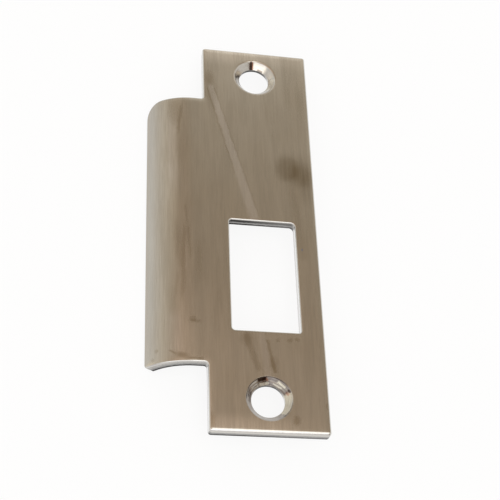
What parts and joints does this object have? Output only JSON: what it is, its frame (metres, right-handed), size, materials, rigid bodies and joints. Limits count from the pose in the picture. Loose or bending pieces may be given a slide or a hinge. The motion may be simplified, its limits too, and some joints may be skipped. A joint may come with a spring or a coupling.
{
  "type": "door strike plate",
  "caption": "Oblong door strike plate of bent sheet metal with a curved lip along one long side, a rectangular latch hole and countersunk screw holes at its ends, brushed satin finish.",
  "frame": {"origin": "on the plane of the plate's back, midway between the screw holes", "axes": "+Z out of the face, +Y along the plate away from the latch hole, -X towards the lip"},
  "size_m": [0.0477, 0.1238, 0.0083],
  "materials": {
    "satin_metal": "warm grey satin, brushed along the plate's length, with bright countersinks and faint stains"
  },
  "bodies": {
    "root": {"strike_plate": "satin_metal"}
  },
  "joints": []
}
